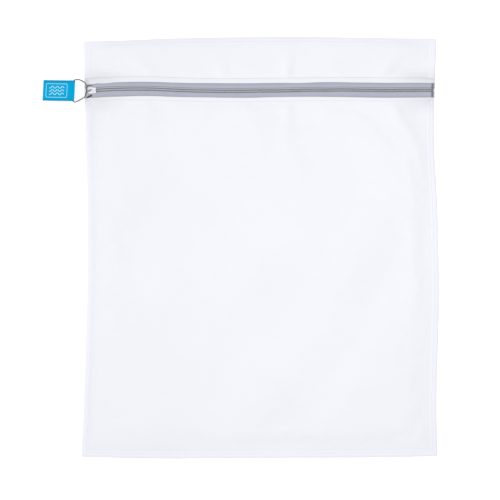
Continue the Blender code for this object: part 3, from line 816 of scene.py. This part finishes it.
def make_materials():
    return {
        "mesh": net_material("white_net", (0.868, 0.874, 0.920), (0.782, 0.788, 0.838), 0.90),
        # The seam and the hem are darker copies of the same net: their darker tone is painted shade.
        "seam": net_material("folded_net", (0.805, 0.812, 0.865), (0.740, 0.747, 0.805), 1.0),
        "hem": net_material("hem_net", (0.780, 0.786, 0.835), (0.720, 0.726, 0.780), 1.0),
        "thread": thread_material("white_thread", (0.80, 0.80, 0.85)),
        "tape": tape_material(),
        "coil": nylon_material("grey_nylon", (0.60, 0.60, 0.66), 0.40),
        # Painted shade, in part: the near-black cord and coil thread stand for the gaps beside the chain,
        # and both dark materials colour the tacks beside the slider, which stand for shade there. The dark
        # grey is also the end fold's colour.
        "core": thread_material("dark_cord_and_painted_shade", (0.05, 0.05, 0.06)),
        "binding_and_shade": thread_material("dark_binding_and_painted_shade", (0.17, 0.18, 0.22)),
        "enamel": enamel_material(),
        "steel": steel_material(),
        "ribbon": ribbon_material(),
        "motif": thread_material("pale_blue_thread", (0.48, 0.86, 0.95)),
    }


# Cloth of the bag


def make_back(mats):
    inset = SEAM - TUCK
    low = (LEFT + inset, BOTTOM + inset)
    high = (RIGHT - inset, TOP - inset)
    back = sheet_piece("back_net", low, high, BACK_GRID, on_back, mats["mesh"])
    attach(back, "bag")
    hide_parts("back_panel")
    return back


def pin_weights(piece):
    """Full weight where the front cloth is sewn, and none inside."""
    group = piece.vertex_groups.new(name="sewn")
    for vertex, corner in enumerate(piece.data.vertices):
        x, y, _ = corner.co
        distance = min(x - LEFT, RIGHT - x, y - BOTTOM, TAPE_LOW - y + SEAM)
        weight = float(1 - smoothstep((distance - SEWN_WITHIN) / SEAM))
        group.add([vertex], weight, "REPLACE")
    return group


def loose_cloth(piece):
    """A cloth modifier that makes the sheet a little larger than its frame, so that it buckles."""
    group = pin_weights(piece)
    cloth = piece.modifiers.new("settle", "CLOTH")
    for name, value in CLOTH_SETTINGS.items():
        setattr(cloth.settings, name, value)
    cloth.settings.vertex_group_mass = group.name
    cloth.settings.effector_weights.gravity = 0.0
    cloth.collision_settings.use_collision = False
    cloth.point_cache.frame_end = SETTLE_FRAMES
    return cloth


def settle(piece):
    """Lets the front cloth settle into soft folds, and then presses them down."""
    before = np.array([vertex.co for vertex in piece.data.vertices])
    cloth = loose_cloth(piece)
    scene = bpy.context.scene
    for number in range(1, SETTLE_FRAMES + 1):
        scene.frame_set(number)
    evaluated = piece.evaluated_get(bpy.context.evaluated_depsgraph_get())
    after = np.array([vertex.co for vertex in evaluated.data.vertices])
    piece.modifiers.remove(cloth)
    piece.vertex_groups.clear()
    scene.frame_set(1)
    moved = after - before
    length = np.linalg.norm(moved, axis=1)[:, None]
    moved *= np.minimum(1.0, SETTLE_CAP / np.maximum(length, 1e-9)) * PRESSED
    piece.data.vertices.foreach_set("co", (before + moved).astype(np.float32).ravel())
    piece.data.update()


def make_front(mats):
    inset = SEAM - TUCK
    low = (LEFT + inset, BOTTOM + inset)
    high = (RIGHT - inset, TAPE_LOW + HEM / 2)
    front = sheet_piece("front_net", low, high, FRONT_GRID, on_front, mats["mesh"])
    settle(front)
    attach(front, "bag")
    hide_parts("front_panel")
    return front


def rounded_rectangle(low, high, radius, per_side):
    """Points round a rectangle, five to a corner, and as many between two corners as per_side says."""
    centres = (
        (high[0] - radius, low[1] + radius, -90),
        (high[0] - radius, high[1] - radius, 0),
        (low[0] + radius, high[1] - radius, 90),
        (low[0] + radius, low[1] + radius, 180),
    )
    corners = []
    for x, y, start in centres:
        angles = np.radians(start + np.linspace(0, 90, 5))
        corners.append(np.stack([x + radius * np.cos(angles), y + radius * np.sin(angles)], axis=1))
    points = []
    for corner, following, count in zip(corners, corners[1:] + corners[:1], per_side):
        run = np.linspace(0, 1, count + 2)[1:-1, None]
        points += [corner, corner[-1] * (1 - run) + following[0] * run]
    return np.concatenate(points)


def make_edge_seam(mats):
    """Both sheets' edges folded together into one band round the bag."""
    outer = rounded_rectangle((LEFT, BOTTOM), (RIGHT, TOP), OUTER_CORNER, SEAM_POINTS)
    inner_low = (LEFT + SEAM, BOTTOM + SEAM)
    inner_high = (RIGHT - SEAM, TOP - SEAM)
    inner = rounded_rectangle(inner_low, inner_high, INNER_CORNER, SEAM_POINTS)
    flat = []
    placed = []
    for share, level, height in SEAM_PROFILE:
        ring = np.insert(outer * (1 - share) + inner * share, 2, height * MM, axis=1)
        low = back_height(ring[:, 0], ring[:, 1])
        high = front_height(ring[:, 0], ring[:, 1], under_zip=True)
        flat.append(ring)
        placed.append(laid(ring, low + (high - low) * level))
    flat = np.stack(flat, axis=1).reshape(-1, 3)
    placed = np.stack(placed, axis=1).reshape(-1, 3)
    faces = loft_faces(len(outer), len(SEAM_PROFILE), True)
    seam = face_out(new_piece("edge_seam", placed, faces, mats["seam"], flat))
    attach(seam, "bag")
    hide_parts("side_seam_left", "side_seam_right", "top_seam", "bottom_seam")
    return seam


def make_seam_stitches(mats):
    """One row of stitches along each edge, seen on the front and on the back."""
    for side in ("left", "right", "bottom", "top"):
        low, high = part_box(f"seam_thread_{side}")
        middle = (low + high) / 2
        along_x = high.x - low.x > high.y - low.y
        ends = ((middle.x, low.y), (middle.x, high.y))
        if along_x:
            ends = ((low.x, middle.y), (high.x, middle.y))
        row = stitches_piece(f"seam_stitches_{side}", ends, on_band, mats["thread"], lift=SEAM_STITCH_LIFT)
        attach(row, "bag")
        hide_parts(f"seam_thread_{side}")
        if not along_x:
            ends = ((middle.x, BOTTOM + SEAM), (middle.x, TOP - SEAM))
        size = (STITCH_PITCH, STITCH_LENGTH, BACK_STITCH_RADIUS)
        under = stitches_piece(
            f"seam_stitches_{side}_back", ends, on_back, mats["thread"], size, BACK_STITCH_LIFT
        )
        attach(under, "bag")


# Zip


def tape_profile(side):
    """Half of the zip's tape, from beside the coil out to under the hem, with raised woven ribs."""
    outer = TAPE_HIGH - ZIP_Y if side > 0 else ZIP_Y - TAPE_LOW
    inner = TAPE_INNER - TAPE_UNDER_COIL
    top = [(inner + y * MM, height) for y, height in TAPE_TOP]
    edge = [(outer, TAPE_HALF_WALL), (outer, -TAPE_HALF_WALL)]
    under = [(inner + y * MM, height) for y, height in TAPE_UNDER]
    return [(ZIP_Y + side * y, height * MM) for y, height in top + edge + under]


def hem_profile(side, x):
    """The cloth's edge, folded back on itself over the tape's edge and sewn down."""
    fold = ZIP_Y + side * float(curve_through(UPPER_FOLD if side > 0 else LOWER_FOLD, np.array(x)))
    sewn = (TAPE_HIGH + HEM_PAST_TAPE) if side > 0 else (TAPE_LOW - HEM_PAST_TAPE)
    width = abs(sewn - fold)
    return [(fold + side * share * width, height * MM) for share, height in HEM_SHAPE]


def coil_path(start_x, end_x, side, offset):
    """One continuous filament, wound in flattened turns that reach just past the chain's middle."""
    turns = int((end_x - start_x) / COIL_PITCH)
    turn = np.arange(turns * COIL_STEPS + 1) / COIL_STEPS
    angle = 2 * math.pi * turn
    x = start_x + offset + COIL_PITCH * (turn + COIL_LEAN * np.sin(angle) / (2 * math.pi))
    y = ZIP_Y + side * (COIL_MID + COIL_HALF * signed_power(np.cos(angle), COIL_FLATNESS))
    height = COIL_RISE * signed_power(np.sin(angle), COIL_FLATNESS)
    return on_zip(np.stack([x, y, height], axis=1))


def straight_path(start_x, end_x, y, height, ripple=0.0, step=1.2 * MM):
    count = max(3, int((end_x - start_x) / step))
    x = np.linspace(start_x, end_x, count)
    lift = height + ripple * np.where(np.arange(count) % 2 == 0, 1.0, -1.0)
    return on_zip(np.stack([x, x * 0 + y, lift], axis=1))


def hem_stitches(part, side, start_x, end_x, mats):
    row_y = FLAP_ROW - HEM_STITCH_SHIFT if side > 0 else HEM_ROW + HEM_STITCH_SHIFT
    ends = ((max(start_x, LEFT + SEAM), row_y), (min(end_x, RIGHT - SEAM), row_y))
    size = (STITCH_PITCH, STITCH_LENGTH, HEM_STITCH_RADIUS)
    return stitches_piece(f"hem_stitches_{part}", ends, on_hem, mats["thread"], size, HEM_STITCH_LIFT)


def half_chain(part, side, start_x, end_x, mats):
    """The coil, the cord inside it and the thread that sews it to the tape."""
    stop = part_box("zip_stop_left")[1].x
    low = max(start_x, stop)
    high = min(end_x, -stop)
    offset = COIL_PITCH / 2 if side > 0 else 0.0
    path = coil_path(low, high - COIL_PITCH / 2, side, offset)
    coil = tube_piece(f"wound_coil_{part}", path, (1, 0, 0), COIL_WIRE, COIL_WIRE, COIL_SIDES, mats["coil"])
    # The cord and the coil's thread are real, and their near-black colour is painted shade, the dark gaps
    # beside the chain.
    path = straight_path(low, high, ZIP_Y + side * CORE_Y, 0.0)
    core = tube_piece(f"zip_cord_{part}", path, (0, 1, 0), *CORE_HALF, CORE_SIDES, mats["core"])
    path = straight_path(
        low, high, ZIP_Y + side * COIL_THREAD_Y, COIL_THREAD_LIFT, COIL_THREAD_RIPPLE, COIL_THREAD_STEP
    )
    radius = COIL_THREAD_RADIUS
    thread = tube_piece(f"coil_thread_{part}", path, (0, 1, 0), radius, radius, COIL_SIDES, mats["core"])
    return {"coil": coil, "core": core, "thread": thread}


def half_zip(part, side, start_x, end_x, mats):
    """Tape, hem, hem stitches, coil, its cord and its sewing thread, on one side of the chain."""
    tape = strip_piece(
        f"woven_tape_{part}", lambda x: tape_profile(side), start_x, end_x, on_zip, mats["tape"]
    )
    hem = strip_piece(f"hem_{part}", lambda x: hem_profile(side, x), start_x, end_x, on_hem, mats["hem"])
    stitches = hem_stitches(part, side, start_x, end_x, mats)
    half = {"tape": tape, "hem": hem, "stitches": stitches}
    half.update(half_chain(part, side, start_x, end_x, mats))
    return half


def make_lower_zip(mats):
    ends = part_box("zip_tape_lower")
    half = half_zip("lower", -1, ends[0].x, ends[1].x, mats)
    for piece in half.values():
        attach(piece, "bag")
    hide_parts("zip_tape_lower")
    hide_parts("front_hem")
    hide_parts("front_hem_thread")
    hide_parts("zip_coil_lower")
    return half


def make_flap_half(side_name, start_x, end_x, mats):
    """Half of the flap and its zip, on one side of the bag's middle."""
    inset = SEAM - TUCK
    low = (max(start_x, LEFT + inset), TAPE_HIGH - HEM / 2)
    high = (min(end_x, RIGHT - inset), HINGE_Y + TUCK / 2)
    flap = sheet_piece(f"flap_net_{side_name}", low, high, FLAP_GRID, on_front, mats["mesh"])
    half = half_zip(f"upper_{side_name}", 1, start_x, end_x, mats)
    half["flap"] = flap
    for kind, piece in half.items():
        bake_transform(piece)
        if kind in STANDS_FOR:
            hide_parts(f"{STANDS_FOR[kind]}_{side_name}_end", f"{STANDS_FOR[kind]}_middle")
    return half


def make_zip_stops(mats):
    """A tack of thick thread across the chain at each end."""
    for name in ("zip_stop_left", "zip_stop_right"):
        low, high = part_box(name)
        low_end = low.y - STOP_PAST_CHAIN
        high_end = high.y + STOP_PAST_CHAIN
        across = ((low_end, 0.0), (low.y, 0.55), (ZIP_Y, 0.72), (high.y, 0.55), (high_end, 0.0))
        tubes = []
        for number in range(STOP_TURNS):
            x = low.x + (high.x - low.x) * (number + 0.5) / STOP_TURNS
            path = np.array([(x, y, height * MM) for y, height in across])
            tubes.append(sweep(on_zip(path), (1, 0, 0), *STOP_THREAD, THREAD_SIDES))
        tack = merged_tubes(f"{name}_tack", tubes, mats["thread"])
        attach(tack, "bag")
        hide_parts(name)


def end_tack(name, first, last, halves, count, material):
    """A bar tack: short stitches side by side from first to last, on the zip's level."""
    first = np.array(first)
    last = np.array(last)
    ahead = (last - first) / np.linalg.norm(last - first)
    across = np.array([-ahead[1], ahead[0]])
    tubes = []
    for number in range(count):
        share = number / (count - 1)
        middle = first + (last - first) * share
        half = halves[0] * (1 - share) + halves[1] * share
        path = []
        for reach, height in BAR_STITCH:
            x, y = middle + across * half * reach + ahead * BAR_SLANT * reach
            path.append((x, y, height * MM))
        tubes.append(sweep(on_zip(np.array(path)), (*ahead, 0), *BAR_THREAD, THREAD_SIDES))
    tack = merged_tubes(name, tubes, material)
    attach(tack, "bag")


def make_end_tacks(mats):
    """Dark bar tacks, sewn slantwise where both tapes are tucked in beside the slider: dark thread that
    paints the shade there.
    """
    end_tack("painted_shade_tack_lower", *LOWER_SHADE_TACK, mats["core"])
    end_tack("painted_shade_tack_upper", *UPPER_SHADE_TACK, mats["binding_and_shade"])


def make_end_binding(mats):
    """The tape's end, folded over and sewn down across the chain."""
    low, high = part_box("zip_end_binding")
    low_hem = low.y + 0.4 * MM
    high_hem = high.y - 0.4 * MM
    profile = [(low.y, 0.18 * MM), (low_hem, 0.46 * MM)]
    profile += [(ZIP_Y + y * MM, height * MM) for y, height in FOLD_OVER_CHAIN]
    profile += [(high_hem, 0.46 * MM), (high.y, 0.18 * MM), (high_hem, 0.24 * MM)]
    profile += [(ZIP_Y + y * MM, (height - FOLD_WALL) * MM) for y, height in reversed(FOLD_OVER_CHAIN)]
    profile += [(low_hem, 0.24 * MM)]
    start_x = low.x + FOLD_FROM_SLIDER
    binding_and_shade = strip_piece(
        "tape_end_fold", lambda x: profile, start_x, high.x, on_zip, mats["binding_and_shade"], step=0.5 * MM
    )
    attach(binding_and_shade, "bag")
    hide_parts("zip_end_binding")


# Slider, ring and label


def finish_metal(mats):
    """The slider, its crown, the pull tab and the ring keep their CAD shapes, with the enamel and wire
    materials put on them.
    """
    for name in ("slider_body", "slider_crown", "pull_tab", "pull_ring"):
        material = "steel" if name == "pull_ring" else "enamel"
        thing = frame["nodes"][name]
        thing.data.materials.clear()
        thing.data.materials.append(mats[material])


def label_frame():
    """The label's own frame: its origin on the ring's bar, +X towards the bag, +Z up."""
    turn = Matrix.Rotation(LABEL_YAW, 4, "Z") @ Matrix.Rotation(LABEL_PITCH, 4, "Y")
    return Matrix.Translation(Vector(joints["label_swing"]["pos_m"])) @ turn


def label_bend(x):
    """The ribbon's slight rise and fall along its length."""
    return LABEL_BEND * np.sin((x + LABEL_BEND_START) / LABEL_BEND_RUN * math.pi)


def place_label(flat):
    """From the label's own x, y and z to the bag's frame. The ribbon is pulled a little askew."""
    turn = np.array(label_frame())
    x, y, z = flat.T
    askew = np.stack([x, y + LABEL_SKEW * x, z], axis=1)
    return askew @ turn[:3, :3].T + turn[:3, 3]


def label_centre():
    """The ribbon's middle line, seen along the ring's bar: round the bar, and folded at the far end."""
    centre = []
    for x in np.linspace(-LABEL_LENGTH, -LABEL_EYE_END, LABEL_RUN_POINTS):
        centre.append((x, LABEL_GAP))
    for angle in np.radians(np.linspace(165, -165, LABEL_EYE_POINTS)):
        centre.append((LABEL_EYE * math.cos(angle), LABEL_EYE * math.sin(angle)))
    for x in np.linspace(-LABEL_EYE_END, -LABEL_LENGTH, LABEL_RUN_POINTS):
        centre.append((x, -LABEL_GAP))
    for angle in np.radians(np.linspace(-90, -270, 7))[1:-1]:
        centre.append((-LABEL_LENGTH + LABEL_GAP * math.cos(angle), LABEL_GAP * math.sin(angle)))
    return np.array(centre)


def label_sections(centre, columns):
    """Sections across the ribbon, out over one face and back under it, and their places laid flat."""
    around = np.roll(centre, -1, axis=0) - np.roll(centre, 1, axis=0)
    around /= np.linalg.norm(around, axis=1)[:, None]
    outward = np.stack([-around[:, 1], around[:, 0]], axis=1)
    travelled = np.concatenate([[0.0], np.cumsum(np.linalg.norm(np.diff(centre, axis=0), axis=1))])
    points = []
    flats = []
    for depth, order in ((LABEL_WALL / 2, columns), (-LABEL_WALL / 2, columns[::-1])):
        for column in order:
            extra = LABEL_SELVEDGE * smoothstep(
                (abs(column) / LABEL_HALF_WIDTH - SELVEDGE_FROM) / SELVEDGE_SLOPE
            )
            x, z = (centre + outward * (depth + math.copysign(extra, depth))).T
            points.append(np.stack([x, x * 0 + column, z + label_bend(x)], axis=1))
            flats.append(np.stack([travelled, x * 0 + column], axis=1))
    return np.stack(points, axis=1).reshape(-1, 3), np.stack(flats, axis=1).reshape(-1, 2)


def make_label(mats):
    """A ribbon folded round the ring's bar, doubled back under itself and hemmed at its far end."""
    centre = label_centre()
    columns = np.linspace(-LABEL_HALF_WIDTH, LABEL_HALF_WIDTH, LABEL_COLUMNS)
    points, flat = label_sections(centre, columns)
    faces = loft_faces(len(centre), 2 * len(columns), True)
    label = face_out(new_piece("tag_ribbon", place_label(points), faces, mats["ribbon"], flat))
    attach(label, "label")
    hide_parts("label_ribbon")
    return label


def on_label(flat):
    """From places on the label, and heights above its bent middle, to the bag's frame."""
    x, y, height = flat.T
    return place_label(np.stack([x, y, height + label_bend(x)], axis=1))


def make_label_stitches(mats):
    """The row of stitches that closes the eye, across the label beside the ring."""
    low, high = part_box("label_thread")
    half = (high.y - low.y) / 2
    ends = ((-LABEL_ROW, -half), (-LABEL_ROW, half))
    row = stitches_piece("tag_stitches", ends, on_label, mats["ribbon"], LABEL_STITCH, LABEL_ROW_LIFT)
    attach(row, "label")
    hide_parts("label_thread")
    return row


def motif_wave(level):
    x = np.linspace(MOTIF_LOW[0] + WAVE_INSET, MOTIF_HIGH[0] - WAVE_INSET, WAVE_POINTS)
    swing = np.sin((x - MOTIF_LOW[0]) / WAVE_LENGTH * 2 * math.pi)
    return np.stack([x, level + WAVE_HEIGHT * swing], axis=1)


def make_label_motif(mats):
    """A plain border and three waves, embroidered in pale thread. It is a generic washing sign."""
    border = rounded_rectangle(MOTIF_LOW, MOTIF_HIGH, MOTIF_CORNER, MOTIF_POINTS)
    lines = [(np.concatenate([border, border[:1]]), BORDER_WIDTH)]
    lines += [(motif_wave(level), WAVE_WIDTH) for level in WAVE_LEVELS]
    tubes = []
    for line, width in lines:
        path = on_label(np.insert(line, 2, MOTIF_LIFT, axis=1))
        tubes.append(sweep(path, (0, 0, 1), MOTIF_THICKNESS, width, THREAD_SIDES))
    motif = merged_tubes("tag_motif", tubes, mats["motif"])
    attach(motif, "label")
    return motif


# Floor, light and camera


def make_stage():
    bpy.ops.mesh.primitive_plane_add(size=FLOOR_SIZE, location=(0.0, 0.0, FLOOR_Z))
    floor = bpy.context.object
    floor.name = "floor"
    floor.data.materials.append(floor_material())
    world = bpy.data.worlds.new("studio")
    world.use_nodes = True
    background = world.node_tree.nodes["Background"]
    background.inputs["Color"].default_value = (1.0, 1.0, 1.0, 1.0)
    background.inputs["Strength"].default_value = WORLD_STRENGTH
    bpy.context.scene.world = world
    bpy.context.scene.view_settings.view_transform = "Standard"


def make_lights():
    for name, place, target, size, watts in LAMPS:
        data = bpy.data.lights.new(name, "AREA")
        data.shape = "SQUARE"
        data.size = size
        data.energy = watts
        light = bpy.data.objects.new(name, data)
        light.visible_camera = False
        light.location = place
        light.rotation_euler = (Vector(target) - Vector(place)).to_track_quat("-Z", "Y").to_euler()
        bpy.context.scene.collection.objects.link(light)


def make_camera():
    """Straight above the bag, a little left of its middle, so that the label is in the picture."""
    data = bpy.data.cameras.new("camera")
    data.lens = LENS
    data.sensor_width = SENSOR_WIDTH
    camera = bpy.data.objects.new("camera", data)
    camera.location = (*VIEW_CENTRE, CLOTH_Z + VIEW_WIDTH * LENS / SENSOR_WIDTH)
    bpy.context.scene.collection.objects.link(camera)
    bpy.context.scene.camera = camera


def main():
    mats = make_materials()
    make_camera()
    make_stage()
    make_lights()
    back = make_back(mats)
    front = make_front(mats)
    seam = make_edge_seam(mats)
    make_seam_stitches(mats)
    lower = make_lower_zip(mats)
    left = make_flap_half("left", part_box("zip_tape_lower")[0].x, 0.0, mats)
    right = make_flap_half("right", 0.0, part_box("zip_tape_lower")[1].x, mats)
    make_zip_stops(mats)
    make_end_binding(mats)
    make_end_tacks(mats)
    finish_metal(mats)
    label = make_label(mats)
    row = make_label_stitches(mats)
    motif = make_label_motif(mats)


main()
